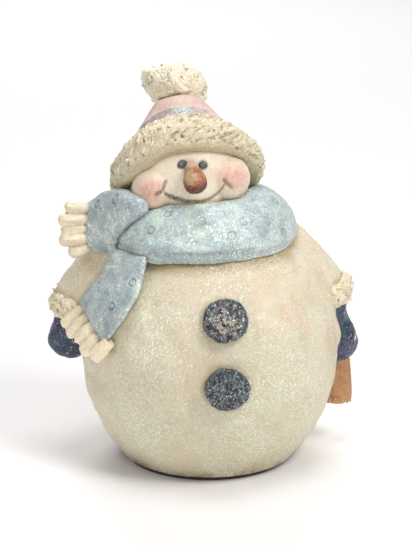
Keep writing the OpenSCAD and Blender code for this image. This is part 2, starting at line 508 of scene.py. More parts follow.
# thin brown paint brushed on and wiped off: it stays in the hollows and in faint patches
def makeWash():
    group, given, result = startGroup(
        "antiqueWash",
        [("Color", "Color", None), ("Wash Color", "Color", (0.45, 0.32, 0.17, 1)), ("Hollow", "Float", 0.0),
         ("Amount", "Float", 0.6), ("Patchiness", "Float", 0.2), ("Patches Per Metre", "Float", 90.0)],
        [("Color", "Color"), ("Mask", "Float")])
    patch = cloud(group, given["Patches Per Metre"], 4.0, 0.6)
    held = times(group, given["Hollow"], stretch(group, patch, 0.3, 0.65, 0.55, 1.25))
    loose = times(group, stretch(group, patch, 0.48, 0.75), given["Patchiness"])
    mask = calc(group, "ADD", times(group, held, given["Amount"]), loose, clamp=True)
    feed(group, result["Color"], blendColor(group, mask, given["Color"], given["Wash Color"]))
    feed(group, result["Mask"], mask)
    return group


# paint rubbed through on the high spots
def makeWear():
    group, given, result = startGroup(
        "paintWear",
        [("Color", "Color", None), ("Bare Color", "Color", (0.8, 0.7, 0.5, 1)), ("Ridge", "Float", 0.0),
         ("Amount", "Float", 0.5), ("Chips Per Metre", "Float", 700.0)],
        [("Color", "Color"), ("Mask", "Float")])
    chips = cloud(group, given["Chips Per Metre"], 4.0, 0.65)
    raised = times(group, given["Ridge"], given["Amount"])
    mask = stretch(group, calc(group, "ADD", raised, chips), 0.78, 0.9)
    feed(group, result["Color"], blendColor(group, mask, given["Color"], given["Bare Color"]))
    feed(group, result["Mask"], mask)
    return group


# pinholes left by air bubbles in the casting
def makePinholes():
    group, given, result = startGroup(
        "pinholes", [("Holes Per Metre", "Float", 420.0), ("Share", "Float", 0.12), ("Width", "Float", 0.16)],
        [("Mask", "Float")])
    cells = put(group, "ShaderNodeTexVoronoi", {"Vector": places(group), "Scale": given["Holes Per Metre"]})
    pick = put(group, "ShaderNodeSeparateColor", {0: cells.outputs["Color"]}).outputs
    chosen = calc(group, "LESS_THAN", pick[0], given["Share"])
    width = times(group, given["Width"], calc(group, "ADD", pick[1], 0.35))
    inside = calc(group, "SUBTRACT", 1.0, calc(group, "DIVIDE", cells.outputs["Distance"], width), clamp=True)
    feed(group, result["Mask"], times(group, calc(group, "POWER", inside, 0.5), chosen))
    return group


glitter, antiqueWash, paintWear, pinholes = makeGlitter(), makeWash(), makeWear(), makePinholes()


def placed(tree, group, feeds):
    made = tree.nodes.new("ShaderNodeGroup")
    made.node_tree = group
    for key, value in feeds.items():
        feed(tree, made.inputs[key], value)
    return made.outputs


# brush-painted resin: these are the values that a paint's own dictionary can change
resin = {
    "roughness": 0.45, "specular": 0.4, "patch": 16,
    "layers": [],        # each one: what masks it, how much of it, its colour, and edges to sharpen the mask to
    "wear": 0.0, "bare": (0.75, 0.66, 0.48), "chips": 700.0,
    "washAmount": 0.6, "patchiness": 0.15, "patches": 90.0, "seam": 0.8,
    "holes": 420.0, "holeShare": 0.1, "sand": 0.5, "sandHeight": 0.35, "bump": 0.6,
    "flakes": 2100.0, "coverage": 0.5, "lean": 0.25, "tint": 0.2,
    # painted reflection: spread lightens or darkens each flake's colour, as if each caught the light its own way
    "spread": 0.12,      # each flake is a little lighter or darker than its neighbour
    "drift": 20,         # the glitter lies thick here and thin there, over patches of this size
    # glint: how far the wide flakes' colour is pushed to pale hues, a painted sparkle
    "wideCoverage": 0.06, "wideLean": 0.55, "glint": 0.6, "flakeRough": 0.22, "metal": 0.25,
}


def paintedResin(name, paint, color=None):
    look = {**resin, **paint}
    material, tree, inputs = newMaterial(name, look["roughness"], Specular_IOR_Level=look["specular"])
    hollow, ridge = attribute(tree, "hollow"), attribute(tree, "ridge")
    base = blendColor(tree, patches(tree, look["patch"], 4, 0.55, 0.35, 0.65), look["paint"], look["second"])
    for layer in look["layers"]:
        base = glazed(tree, base, *layer)
    if color is not None:
        base = color(tree, base)
    worn = placed(tree, paintWear, {"Color": base, "Bare Color": look["bare"], "Ridge": ridge,
                                    "Amount": look["wear"], "Chips Per Metre": look["chips"]})
    dirt = calc(tree, "ADD", hollow, times(tree, attribute(tree, "joint"), look["seam"]))
    washed = placed(tree, antiqueWash, {"Color": worn["Color"], "Wash Color": look["wash"], "Hollow": dirt,
                                        "Amount": look["washAmount"], "Patchiness": look["patchiness"],
                                        "Patches Per Metre": look["patches"]})
    holes = placed(tree, pinholes, {"Holes Per Metre": look["holes"], "Share": look["holeShare"],
                                    "Width": 0.15})["Mask"]
    shade = blendColor(tree, times(tree, holes, 0.7), washed["Color"], look["wash"])
    sand = times(tree, cloud(tree, look["sand"], 3.0, 0.6), look["sandHeight"])
    bump = bumped(tree, calc(tree, "SUBTRACT", sand, holes), look["bump"], 0.25)
    flakes = placed(tree, glitter, {"Flakes Per Metre": look["flakes"], "Normal": bump,
                                    "Coverage": look["coverage"], "Lean": look["lean"]})
    wide = placed(tree, glitter, {"Flakes Per Metre": look["flakes"] * 0.9, "Normal": flakes["Normal"],
                                  "Coverage": look["wideCoverage"], "Lean": look["wideLean"]})
    drift = patches(tree, look["drift"], 3, 0.55, 0.36, 0.64, 0.35, 1.45)
    covered = times(tree, flakes["Mask"], drift)
    # painted reflection: each covered flake's colour is made lighter or darker by its own random amount
    level = stretch(tree, flakes["Glint"], 0.0, 1.0, -look["spread"], look["spread"])
    level = calc(tree, "ADD", 1.0, times(tree, level, covered))
    lit = put(tree, "ShaderNodeVectorMath", {0: shade, "Scale": level}, operation="SCALE").outputs[0]
    lit = blendColor(tree, times(tree, covered, look["tint"]), lit, flakes["Hue"])
    # painted glints: the wide flakes' base colour is pushed towards pale hues, standing in for sparkles of
    # reflected light
    glint = times(tree, wide["Mask"], stretch(tree, wide["Glint"], 0.2, 0.9))
    glint = times(tree, glint, times(tree, drift, look["glint"]))
    feed(tree, inputs["Base Color"], blendColor(tree, glint, lit, wide["Hue"]))
    rough = stretch(tree, wide["Mask"], 0.0, 1.0, look["roughness"], look["flakeRough"])
    feed(tree, inputs["Roughness"], rough)
    feed(tree, inputs["Metallic"], times(tree, wide["Mask"], look["metal"]))
    feed(tree, inputs["Normal"], wide["Normal"])
    return material


# ---- the snow body: a hollow shell, its outline read off the CAD ball
snowBody = {
    "around": 440, "rings": 180,
    "waves": [(21, 1.0), (10, 0.80), (5, 0.32), (1.6, 0.08)],
    "heel": (2.4, 24, 21),   # the ball is fuller low down on its left: how much, at what height, how tall
    "wall": 5.0, "holeR": 12.0, "rebateR": 16.0, "rebate": 2.0,
    "edge": 0.05, "far": 90.0,   # the outline is measured this far inside its ends, from this far out
}


armLook = {
    "rootR": 11.5, "wristR": 8.5, "voxel": 0.75, "thick": 1.6, "taper": 0.1,
    "reach": 22.0, "edge": 16.5,     # the skin is made this far round the arm, and cut back to this
    "fillet": 11.0, "rounds": 160,
    "highest": {"right_arm": 88, "left_arm": 200},     # the scarf lies over the right arm's root
}


def armEnds(node):
    side = node.split("_")[0]
    return np.array(place[side + "Shoulder"]), np.array(place[side + "Wrist"])


def makeBody(look):
    (_, _, low), (_, _, top) = boxOf("body_shell")
    heights = np.linspace(low + look["edge"], top - look["edge"], look["rings"])
    tree = treeOf("body_shell")
    radii = np.array([tree.ray_cast(Vector((0, look["far"], z)), Vector((0, -1, 0)))[0].y for z in heights])
    # the section runs from the flat foot up the skin, through the neck's opening and down the inside wall
    foot = [(look["rebateR"], low), (look["rebateR"] + 6, low), (radii[0] - 1.2, low), (radii[0] - 0.3, low + 0.15)]
    outer = [(r, z) for r, z in zip(radii[1:], heights[1:])]
    inner = [(max(r - look["wall"], 6.0), z) for r, z in outer[:-24:6]][::-1]
    outline = foot + outer + [(8.0, top), (6.0, top - 12)] + inner + [
        (look["holeR"], low + 6), (look["holeR"], low + look["rebate"]), (look["rebateR"], low + look["rebate"])]
    angles = np.linspace(0, 2 * pi, look["around"], endpoint=False)
    grid = np.array([[(r * cos(a), r * sin(a), z) for a in angles] for r, z in outline])
    rows, cols = grid.shape[:2]
    ob = build("snowBody", grid.reshape(-1, 3), gridFaces(rows, cols, True))
    skin = np.zeros(rows, bool)
    skin[len(foot) - 1:len(foot) + len(outer)] = True
    skin = np.repeat(skin, cols)
    points = pointsOf(ob)
    flat = unit(points * (1, 1, 0))
    amount, at, tall = look["heel"]
    heel = amount * bell((points[:, 2] - at) / tall) * clamp(np.cos(np.arctan2(points[:, 1], points[:, 0]) + 0.3))
    points[skin] += (flat * heel[:, None])[skin]
    setPoints(ob, points)
    out = normalsOf(ob)
    settle = clamp((points[:, 2] - low) / 3) * skin
    points += out * (waved(points, look["waves"], 3) * settle)[:, None]
    points[:, 2] = np.maximum(points[:, 2], low)
    setPoints(ob, points)
    markHollows(ob, 0.35)
    markJoints(ob, ["scarf_long_end", "long_fringe", "upper_button", "lower_button", "right_cuff",
                    "left_cuff", "left_mitten", "right_mitten", "broom_straw"], 1.6)
    markJoints(ob, ["scarf_wrap"], 5.0, "scarfLine")
    points = pointsOf(ob)
    lower = points[:, 2] - low + 2.0 * lumps(points, 6.0, 9, 2)
    mark(ob, "foot", np.exp(-np.maximum(lower, 0) / 2.6))
    # height mask for the lower body: it carries painted shade with some antique wash, and the green drifts
    mark(ob, "low", (72 - points[:, 2]) / 44)
    return ob


# an arm and the smooth fillet round its root, in one skin that dips under the body's surface at its edge
def makeArm(node, name, bodyOb):
    start, end = armEnds(node)
    ball = build("ball", pointsOf(bodyOb), [list(p.vertices) for p in bodyOb.data.polygons])
    ob = addMesh(ball, capsule(name, start, end, armLook["rootR"], armLook["wristR"]))
    ob.name = name
    remesh(ob, armLook["voxel"])
    gapArm, _ = nearness(pointsOf(ob), treeOf(node), armLook["reach"])
    dropPoints(ob, gapArm > armLook["reach"] - 0.5)
    points = pointsOf(ob)
    gapArm, _ = nearness(points, treeOf(node), armLook["reach"])
    gapBody, _ = nearness(points, treeOf("body_shell"), 14.0)
    share = clamp(1 - gapArm / armLook["fillet"]) * clamp(1 - gapBody / armLook["fillet"])
    share = (clamp(share * 1.8) * clamp((armLook["highest"][node] - points[:, 2]) / 6))[:, None]
    edges = edgesOf(ob)
    setPoints(ob, relaxed(points, edges, armLook["rounds"]) * share + relaxed(points, edges, 3) * (1 - share))
    points, out = skinOf(ob)
    sink = clamp((gapArm - 9) / 8) ** 2 * 1.4
    wave = waved(points, snowBody["waves"], 3) * clamp(gapBody / 3)
    setPoints(ob, points + out * (wave + 0.12 - sink)[:, None])
    dropPoints(ob, gapArm > armLook["edge"])
    thick = ob.modifiers.new("Solidify", "SOLIDIFY")
    thick.thickness, thick.offset = armLook["thick"] * mm, -1
    applyModifiers(ob)
    markHollows(ob, 0.35)
    markJoints(ob, ["scarf_short_end", "short_fringe", "scarf_long_end", "long_fringe", "right_cuff",
                    "left_cuff"], 1.8)
    markJoints(ob, ["scarf_wrap"], 3.0, "scarfLine")
    return ob


snowPaint = {
    "paint": (0.70, 0.61, 0.43), "second": (0.77, 0.67, 0.505), "wash": (0.44, 0.31, 0.15),
    "patch": 17, "washAmount": 0.7, "patchiness": 0.10, "patches": 80.0,
    "holes": 260.0, "holeShare": 0.012, "sand": 0.55, "bump": 0.5, "coverage": 0.8, "wideCoverage": 0.10,
    "tint": 0.34, "spread": 0.30, "glint": 0.9, "metal": 0.10, "seam": 0.9, "flakes": 1850.0,
    # faint pink and green drifts in the glitter, a brown line under the scarf, and a darker brown band round the
    # foot
    "layers": [([(13, 3, 0.5, 0.52, 0.68)], 0.42, (0.74, 0.49, 0.36)),
               ([(24, 2, 0.5, 0.48, 0.62)], 0.30, (0.66, 0.57, 0.34)),
               # painted shade with some brown antiquing: the lower body darkened towards the bottom
               (["low"], 0.5, (0.60, 0.53, 0.375)),
               (["low", (17, 3, 0.6, 0.42, 0.62)], 0.38, (0.60, 0.64, 0.36)),
               ([("scarfLine", 1.5, 0), (5, 4, 0.55, 0.25, 0.55, 0.55, 1.0)], 1.2, (0.46, 0.34, 0.17)),
               (["foot", (3, 4, 0.55, 0.3, 0.6, 0.5, 1.0)], 1.0, (0.27, 0.18, 0.10))],
}
snowFinish = paintedResin("snowPaint", snowPaint)
ballOb = makeBody(snowBody)
for node, name in (("right_arm", "rightArm"), ("left_arm", "leftArm")):
    finishPiece(makeArm(node, name, ballOb), "snow_resin", snowFinish, node)
finishPiece(ballOb, "snow_resin", snowFinish, "body_shell")


# ---- the head: puffed cheeks, a pressed-in smile with a painted line, blushed cheeks
headLook = {
    "voxel": 0.36, "waves": [(9, 0.22), (3, 0.10), (1.2, 0.04)],
    # across and up from the middle of the face, looking at it square on
    "smile": [(-10.1, -11.7), (-8.6, -12.6), (-6.0, -13.9), (-3.4, -15.1), (-1.1, -15.6), (2.1, -15.9),
              (5.3, -15.2), (7.9, -13.8), (10.1, -12.1), (11.0, -11.0)],
    "rightDimple": [(-13.4, -11.5), (-11.2, -10.7), (-10.4, -9.4), (-9.6, -7.7)],
    "leftDimple": [(10.9, -9.7), (11.6, -10.6), (12.2, -11.3), (13.2, -12.3)],
    "blush": [(-15.0, -10.2, 5.4), (14.6, -8.7, 5.4)],
}


def distanceToPath(across, up, path):
    best = np.full(len(across), 99.0)
    along = np.zeros(len(across))
    path = np.array(path)
    lengths = np.concatenate([[0], np.cumsum(sizes(np.diff(path, axis=0)))])
    for n in range(len(path) - 1):
        a, b = path[n], path[n + 1]
        way = b - a
        t = clamp(((across - a[0]) * way[0] + (up - a[1]) * way[1]) / (way @ way))
        d = np.hypot(across - a[0] - t * way[0], up - a[1] - t * way[1])
        closer = d < best
        best[closer] = d[closer]
        along[closer] = ((lengths[n] + t * np.linalg.norm(way)) / lengths[-1])[closer]
    return best, along


def makeHead(look):
    ob = startPiece("head", "snowHead", look["voxel"], 6)
    points, out = skinOf(ob)
    x, y, z = toLocal(points, headAxes).T
    front = y < -6
    move = np.zeros(len(points))
    for side in (-1, 1):    # cheeks that push the smile's ends up, and a soft hollow under the eyes
        move += 0.9 * spot(x - side * 13.8, z + 8.2, 5.0, 4.2)
        move -= 0.5 * spot(x - side * 6.5, z + 8.5, 3.5, 3.5)
    move += 0.7 * spot(x, z + 18.5, 7.0, 2.6)     # lower lip
    ink = np.zeros(len(points))
    d, t = distanceToPath(x, z, look["smile"])
    width = np.interp(t, [0, 0.12, 0.45, 0.7, 1], [0.5, 0.72, 0.68, 0.45, 0.38])
    move -= 0.6 * bell(d / (width + 0.25)) * np.interp(t, [0, 0.5, 1], [1, 0.9, 0.6])
    ink = np.maximum(ink, np.exp(-(d / width) ** 4) * np.interp(t, [0, 0.5, 0.75, 1], [1.0, 1.0, 0.7, 0.75]))
    for key in ("rightDimple", "leftDimple"):
        d, t = distanceToPath(x, z, look[key])
        move -= 0.6 * bell(d / 0.6)
        ink = np.maximum(ink, 0.85 * np.exp(-(d / 0.62) ** 4))
    blush = np.zeros(len(points))
    for across, up, r in look["blush"]:
        blush = np.maximum(blush, spot(x - across, z - up, r, r * 0.9))
    points += out * (move * front + waved(points, look["waves"], 31))[:, None]
    setPoints(ob, points)
    mark(ob, "ink", ink * front)
    mark(ob, "blush", blush * front)
    markHollows(ob, 0.3)
    markJoints(ob, ["hat_brim", "scarf_wrap", "nose"], 1.5)
    return ob


# painted light: the face's snow paint is much lighter than the body's, lifting the face out of the shade under the
# brim
litFacePaint = {
    "paint": (0.90, 0.795, 0.615), "second": (0.87, 0.76, 0.585), "wash": (0.50, 0.34, 0.18),
    "patch": 10, "washAmount": 0.5, "patchiness": 0.05, "holeShare": 0.01,
    "coverage": 0.7, "wideCoverage": 0.05, "tint": 0.25, "spread": 0.13, "glint": 0.7, "metal": 0.1,
    "layers": [(["blush", (2.2, 4, 0.55, 0.3, 0.7, 0.6, 1.15)], 1.0, (0.72, 0.31, 0.25)),
               (["ink", (0.8, 3, 0.55, 0.25, 0.55, 0.75, 1.0)], 1.0, (0.05, 0.04, 0.033))],
}
finishPiece(makeHead(headLook), "face_resin", paintedResin("litFacePaint", litFacePaint), "head")


# ---- eyes: flat painted beads with a lighter rim
eyeLook = {"width": 1.6, "height": 1.1, "thick": 0.75, "rings": 12, "around": 28}


def makeEye(node, name, look):
    lo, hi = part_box(node)
    centre = np.array((lo + hi) / 2) / mm
    out = centre - headAt
    out /= np.linalg.norm(out)
    side = np.cross(headAxes[:, 2], out)
    side /= np.linalg.norm(side)
    up = np.cross(out, side)
    points = []
    for i in range(look["rings"] + 1):
        t = pi * i / look["rings"]
        for j in range(look["around"]):
            a = 2 * pi * j / look["around"]
            points.append(centre + side * look["width"] * sin(t) * cos(a) + up * look["height"] * sin(t) * sin(a)
                          + out * look["thick"] * cos(t))
    ob = build(name, np.array(points), gridFaces(look["rings"] + 1, look["around"], flipped=True))
    rim = clamp(sizes(toLocal(pointsOf(ob), headAxes, centre)[:, [0, 2]]) / 1.3)
    mark(ob, "rim", rim ** 3)
    roughen(ob, 41, [(0.9, 0.08)])
    return ob


eyePaint = {"paint": (0.14, 0.20, 0.205), "second": (0.04, 0.06, 0.07), "wash": (0.03, 0.03, 0.03), "patch": 1.2,
            "roughness": 0.35, "holeShare": 0.0, "coverage": 0.3, "wideCoverage": 0.0,
            "patchiness": 0.0, "sand": 0.4, "layers": [(["rim"], 0.85, (0.025, 0.035, 0.04))]}
eyeFinish = paintedResin("eyePaint", eyePaint)
for side in ("right", "left"):
    finishPiece(makeEye(side + "_eye", side + "Eye", eyeLook), "eye_resin", eyeFinish, side + "_eye")


# ---- the carrot nose: droops from a pale lump between the eyes, paint worn off its tip
noseLook = {"voxel": 0.24, "waves": [(2.4, 0.22), (0.9, 0.08)]}


def makeNose(look):
    ob = startPiece("nose", "carrotNose", look["voxel"], 4)
    roughen(ob, 53, look["waves"])
    x, y, z = toLocal(pointsOf(ob), headAxes).T
    mark(ob, "worn", spot(x + 1.3, z + 9.6, 2.5, 3.4) * (y < -23))
    mark(ob, "lump", (z + 6.2) / 1.6)
    # painted shade with some brown wash: the nose's underside darkened
    mark(ob, "under", (-z - 10.2 + 0.45 * (y + 25)) / 2.4 + np.abs(x / 4.4) ** 3)
    markHollows(ob, 0.3)
    return ob


nosePaint = {
    "paint": (0.50, 0.20, 0.075), "second": (0.33, 0.10, 0.045), "wash": (0.08, 0.025, 0.015), "patch": 2.0,
    "roughness": 0.4, "holeShare": 0.05, "coverage": 0.4, "wideCoverage": 0.0, "tint": 0.1, "patches": 500.0,
    "bump": 0.8,
    # the first layer is painted shade under the nose, with some brown wash in it
    "layers": [(["under"], 1.0, (0.12, 0.032, 0.018)), (["lump"], 0.8, (0.66, 0.49, 0.36)),
               (["worn", (1.4, 4, 0.55, 0.3, 0.7, 0.5, 1.5)], 0.9, (0.50, 0.375, 0.20), (0.36, 0.62))],
}
finishPiece(makeNose(noseLook), "nose_resin", paintedResin("nosePaint", nosePaint), "nose")


# ---- the hat: a pink crown with a lilac band, and a tooled fur brim and bobble
crownLook = {"voxel": 0.42, "waves": [(6, 0.25), (2.4, 0.12), (1.0, 0.05)],
             "bandTop": 15.3,       # upper edge of the lilac band, above the middle of the head
             "bandEnd": 38.0}       # where round the hat the band fades out, in degrees from its front


def makeCrown(look):
    ob = startPiece("hat_crown", "hatCrown", look["voxel"], 14)
    roughen(ob, 61, look["waves"])
    points = pointsOf(ob)
    near = toLocal(points, hatAxes)
    turn = roundHat(near)
    edge = 0.6 * lumps(points, 3.0, 65, 2)
    height = near[:, 2] + 0.2 * near[:, 1] + edge
    band = clamp((look["bandTop"] - height) / 0.5)
    mark(ob, "band", band * clamp((look["bandEnd"] - turn + 14 * edge) / 16))
    # painted glints: the band's glitter shows pale and teal only at the hat's front
    mark(ob, "sparkle", bell((turn - 2) / 15))
    markHollows(ob, 0.3)
    markJoints(ob, ["hat_brim", "bobble"], 1.6)
    return ob


def bandColors(tree, base):
    bright = blendColor(tree, patches(tree, 0.55, 2, 0.55, 0.40, 0.60), (0.16, 0.27, 0.30), (0.80, 0.90, 0.84))
    # painted glints on the band's front, mixed into the lilac
    teal = blendColor(tree, attribute(tree, "sparkle"), (0.33, 0.26, 0.29), bright)
    streak = patches(tree, 1.6, 3, 0.55, 0.3, 0.7, 0.75, 1.0)
    return blendColor(tree, times(tree, attribute(tree, "band"), streak), base, teal)


hatPaint = {"paint": (0.72, 0.49, 0.43), "second": (0.74, 0.58, 0.50), "wash": (0.45, 0.29, 0.18), "patch": 6,
            "patchiness": 0.06, "holeShare": 0.01, "coverage": 0.5,
            "wideCoverage": 0.07, "glint": 0.5, "wear": 0.25, "bare": (0.82, 0.72, 0.60),
            "seam": 0.6}
finishPiece(makeCrown(crownLook), "hat_resin", paintedResin("hatPaint", hatPaint, bandColors), "hat_crown")


# tooled fur: lumps, strokes combed into them, and a few raised tufts that break the outline
def makeFur(name, node, look, comb, where):
    rng = np.random.default_rng(look["seed"])
    base = startPiece(node, name, 0.5, 3)
    points, out = skinOf(base)
    share = where(points, out)
    setPoints(base, points - out * (look["sink"] * share)[:, None])
    anchors, taken = [], np.zeros((0, 3))
    for index in rng.permutation(len(points)):
        if rng.random() > share[index] or len(anchors) >= look["tufts"]:
            continue
        if len(taken) and np.min(((taken - points[index]) ** 2).sum(1)) < look["spacing"] ** 2:
            continue
        taken = np.vstack([taken, points[index]])
        anchors.append(index)
    ways = comb(points[anchors], out[anchors])
    tufts = Heap()
    for index, way in zip(anchors, ways):
        n = out[index]
        p = points[index] - n * look["sink"]
        length = look["length"] * rng.uniform(0.7, 1.3)
        lift = radians(look["lift"] + rng.normal(0, 9))
        end = p + (way * cos(lift) + n * sin(lift)) * length
        path = bent(p - n * 0.5 - way * 0.4, end, n * length * 0.12, 5)
        tufts.add(*tube(path, look["thick"] * rng.uniform(0.75, 1.25) * np.array([0.9, 1, 1, 0.8, 0.35]), 6))
    ob = addMesh(base, tufts.made("tufts"))
    remesh(ob, look["voxel"])
    soften(ob, 2)
    points, out = skinOf(ob)
    share, ways = where(points, out), comb(points, out)
    move = look["clump"] * combed(points, ways, look["clumpSize"], look["clumpSize"] * 2.2, 5)
    move += look["stroke"] * combed(points, ways, look["strokeSize"], look["strokeLength"], 11)
    move += look["bulk"] * lumps(points, look["bulkSize"], 3)
    pits = clamp((lumps(points, 1.3, 17) - 0.62) * 5)
    setPoints(ob, points + out * ((move - look["pit"] * pits) * share)[:, None])
    mark(ob, "pit", pits * share)
    markHollows(ob, look["hollow"], 8)
    return ob


def across(vectors, out):
    return unit(vectors - out * (vectors * out).sum(1)[:, None])


# a comb whose directions swirl from place to place
def swirl(size, seed):
    def comb(points, out):
        way = np.stack([lumps(points + shift, size, seed) for shift in (0.0, 60.0, -60.0)], -1)
        return across(way, out)
    return comb


furLook = {"seed": 7, "voxel": 0.3, "sink": 0.35, "tufts": 260, "spacing": 1.8, "length": 1.7, "thick": 0.5,
           "lift": 18, "clump": 0.26, "clumpSize": 1.7, "stroke": 0.21, "strokeSize": 0.62, "strokeLength": 2.8,
           "pit": 0.5, "hollow": 0.24, "bulk": 0.35, "bulkSize": 6.0,
           "lip": -0.6, "lipR": 25.6}      # the smooth lip lies below this height and inside this radius


def brimComb(points, out):
    near = toLocal(points, hatAxes)
    around = onCircle(np.arctan2(near[:, 0], -near[:, 1])) @ hatAxes.T
    right = 1 / (1 + np.exp(-near[:, 0] / 4.0))
    slant = 0.9 + 0.9 * (1 - 0.6 * right) * lumps(points, 5.0, 71, 2)
    return across(around * np.cos(slant)[:, None] + hatAxes[:, 2] * np.sin(slant)[:, None], out)


def onFur(points, out):
    near = toLocal(points, hatAxes)
    side = out @ hatAxes
    outward = side[:, 2] * 0.5 + (side[:, :2] * near[:, :2]).sum(1) / np.maximum(np.hypot(*near[:, :2].T), 1)
    edge = np.maximum(near[:, 2] - furLook["lip"], np.hypot(near[:, 0], near[:, 1]) - furLook["lipR"])
    return clamp((edge + 0.5 * lumps(points, 3.0, 75)) / 0.7) * clamp((outward + 0.35) / 0.25)


# the smooth lip sags over the forehead, most of all on the figure's right
def sagLip(ob, look):
    points = pointsOf(ob)
    near = toLocal(points, hatAxes)
    turn = roundHat(near)
    share = np.maximum(bell((turn - look["at"]) / look["wide"]), look["middle"] * bell(turn / 50))
    share *= clamp((look["outside"] - np.hypot(near[:, 0], near[:, 1])) / 2.6) * clamp((3 - near[:, 2]) / 6)
    setPoints(ob, points - hatAxes[:, 2] * (look["deep"] * share)[:, None])


brim = makeFur("hatBrim", "hat_brim", furLook, brimComb, onFur)
mark(brim, "lip", 1 - onFur(pointsOf(brim), normalsOf(brim)))
sagLip(brim, {"deep": 3.4, "at": -52.0, "wide": 36.0, "middle": 0.45, "outside": 27.6})
markJoints(brim, ["head"], 1.6)
furPaint = {"paint": (0.74, 0.65, 0.46), "second": (0.64, 0.54, 0.355), "wash": (0.34, 0.24, 0.11), "patch": 7,
            "roughness": 0.5, "washAmount": 1.5, "patchiness": 0.30, "patches": 190.0,
            "holeShare": 0.04, "coverage": 0.6, "wideCoverage": 0.08, "tint": 0.25, "glint": 0.7, "wear": 0.5,
            "bare": (0.93, 0.87, 0.74), "seam": 0.6,
            "layers": [(["lip"], 0.8, (0.50, 0.40, 0.24)), (["pit"], 0.75, (0.24, 0.16, 0.09))]}
finishPiece(brim, "fur_resin", paintedResin("furPaint", furPaint), "hat_brim")


# the bobble leans to its left and hangs a little over the sides of the crown
def settle(ob, look):
    axes = hatAxes @ turned((16.0, 0.0, 0.0))
    points = pointsOf(ob)
    near = toLocal(points, axes)
    x, _, z = (near - (near.max(0) + near.min(0)) / 2).T
    drop = look["drop"] + look["lean"] * x + look["hang"] * x ** 2 * clamp(-z / 6)
    setPoints(ob, points - axes[:, 2] * drop[:, None])


def everywhere(points, out):
    return np.ones(len(points))


bobbleLook = {**furLook, "seed": 19, "voxel": 0.28, "tufts": 40, "spacing": 3.0, "length": 1.8, "thick": 0.6,
              "clump": 0.38, "clumpSize": 2.1, "stroke": 0.20, "strokeSize": 0.65, "strokeLength": 2.6,
              "sink": 0.35, "lift": 10, "pit": 0.12, "bulk": 0.95, "bulkSize": 4.2}
bobble = makeFur("hatBobble", "bobble", bobbleLook, swirl(5.0, 81), everywhere)
settle(bobble, {"drop": 0.8, "lean": 0.16, "hang": 0.012})
bobblePaint = {**furPaint, "paint": (0.89, 0.81, 0.63), "second": (0.85, 0.76, 0.57), "patchiness": 0.12,
               "washAmount": 0.6}
finishPiece(bobble, "fur_resin", paintedResin("bobblePaint", bobblePaint), "bobble")


cuffPaint = {**furPaint, "paint": (0.82, 0.73, 0.54), "second": (0.77, 0.67, 0.47), "patchiness": 0.15,
             "washAmount": 1.1}
cuffFinish = paintedResin("cuffPaint", cuffPaint)
for side, seed in (("right", 33), ("left", 35)):
    cuffLook = {**furLook, "seed": seed, "voxel": 0.3, "tufts": 40, "spacing": 2.0, "length": 1.8, "lift": 22,
                "clump": 0.34, "clumpSize": 1.9, "stroke": 0.16, "strokeSize": 0.70, "strokeLength": 2.0,
                "sink": 0.1, "bulk": 0.45, "bulkSize": 3.5, "pit": 0.35}
    cuff = makeFur(side + "Cuff", side + "_cuff", cuffLook, swirl(4.0, 91), everywhere)
    finishPiece(cuff, "fur_resin", cuffFinish, side + "_cuff")


# ---- the scarf: a thick wrap with soft folds and little stamped rings, and two ends
scarfLook = {
    "around": 420, "section": 120, "middle": (26.5, 90.5), "soften": 5, "odd": 3.5,
    "lobe": (1.6, 62.0, 28.0),      # the wrap swells on its left: how much, where round, how wide
    "waves": [(6, 0.30), (2.6, 0.15), (1.1, 0.07)],
    "ring": 1.3, "press": 0.5,
    "rings": [(-17.5, -23.3, 98.5), (-6.2, -29.2, 97.0), (8.5, -28.3, 95.9), (-24.0, -24.3, 93.2),
              (3.9, -32.2, 92.4), (21.2, -14.9, 98.4), (24.5, -22.5, 90.0)],
    "backRings": 7,                 # more of them round the back
    "endVoxel": 0.42, "endSoften": 16, "endThick": 0.45,
    "endRings": [(-40.0, -14.0, 75.6), (-30.9, -29.1, 75.5), (-38.1, -27.2, 66.7), (-40.7, -5.6, 98.3),
                 (-33.5, -11.5, 101.0)],
}


def pressRings(points, out, centres, look):
    move = np.zeros(len(points))
    for centre in centres:
        d = sizes(points - np.array(centre))
        d = np.sqrt(np.maximum(d ** 2 - np.min(d) ** 2, 0))
        move -= look["press"] * bell((d - look["ring"]) / 0.34)
        move -= look["press"] * 0.8 * bell(d / 0.40)
        move += look["press"] * 0.35 * bell((d - 2.0) / 0.4)
    return points + out * move[:, None]


# lifts points out of the right arm's round root, away from the scarf's own axis
def overShoulder(points, lift):
    start, end = armEnds("right_arm")
    long = np.linalg.norm(end - start)
    way = (end - start) / long
    out = unit((points - np.array([*place["scarfMiddle"], 0])) * (1, 1, 0))
    move = np.zeros(len(points))
    for _ in range(40):
        away = points + out * move[:, None] - start
        along = np.clip(away @ way, 0, long)
        gap = sizes(away - along[:, None] * way) - armLook["rootR"] + along * armLook["taper"]
        move += np.clip(lift - gap, 0, 0.6)
    return out, move


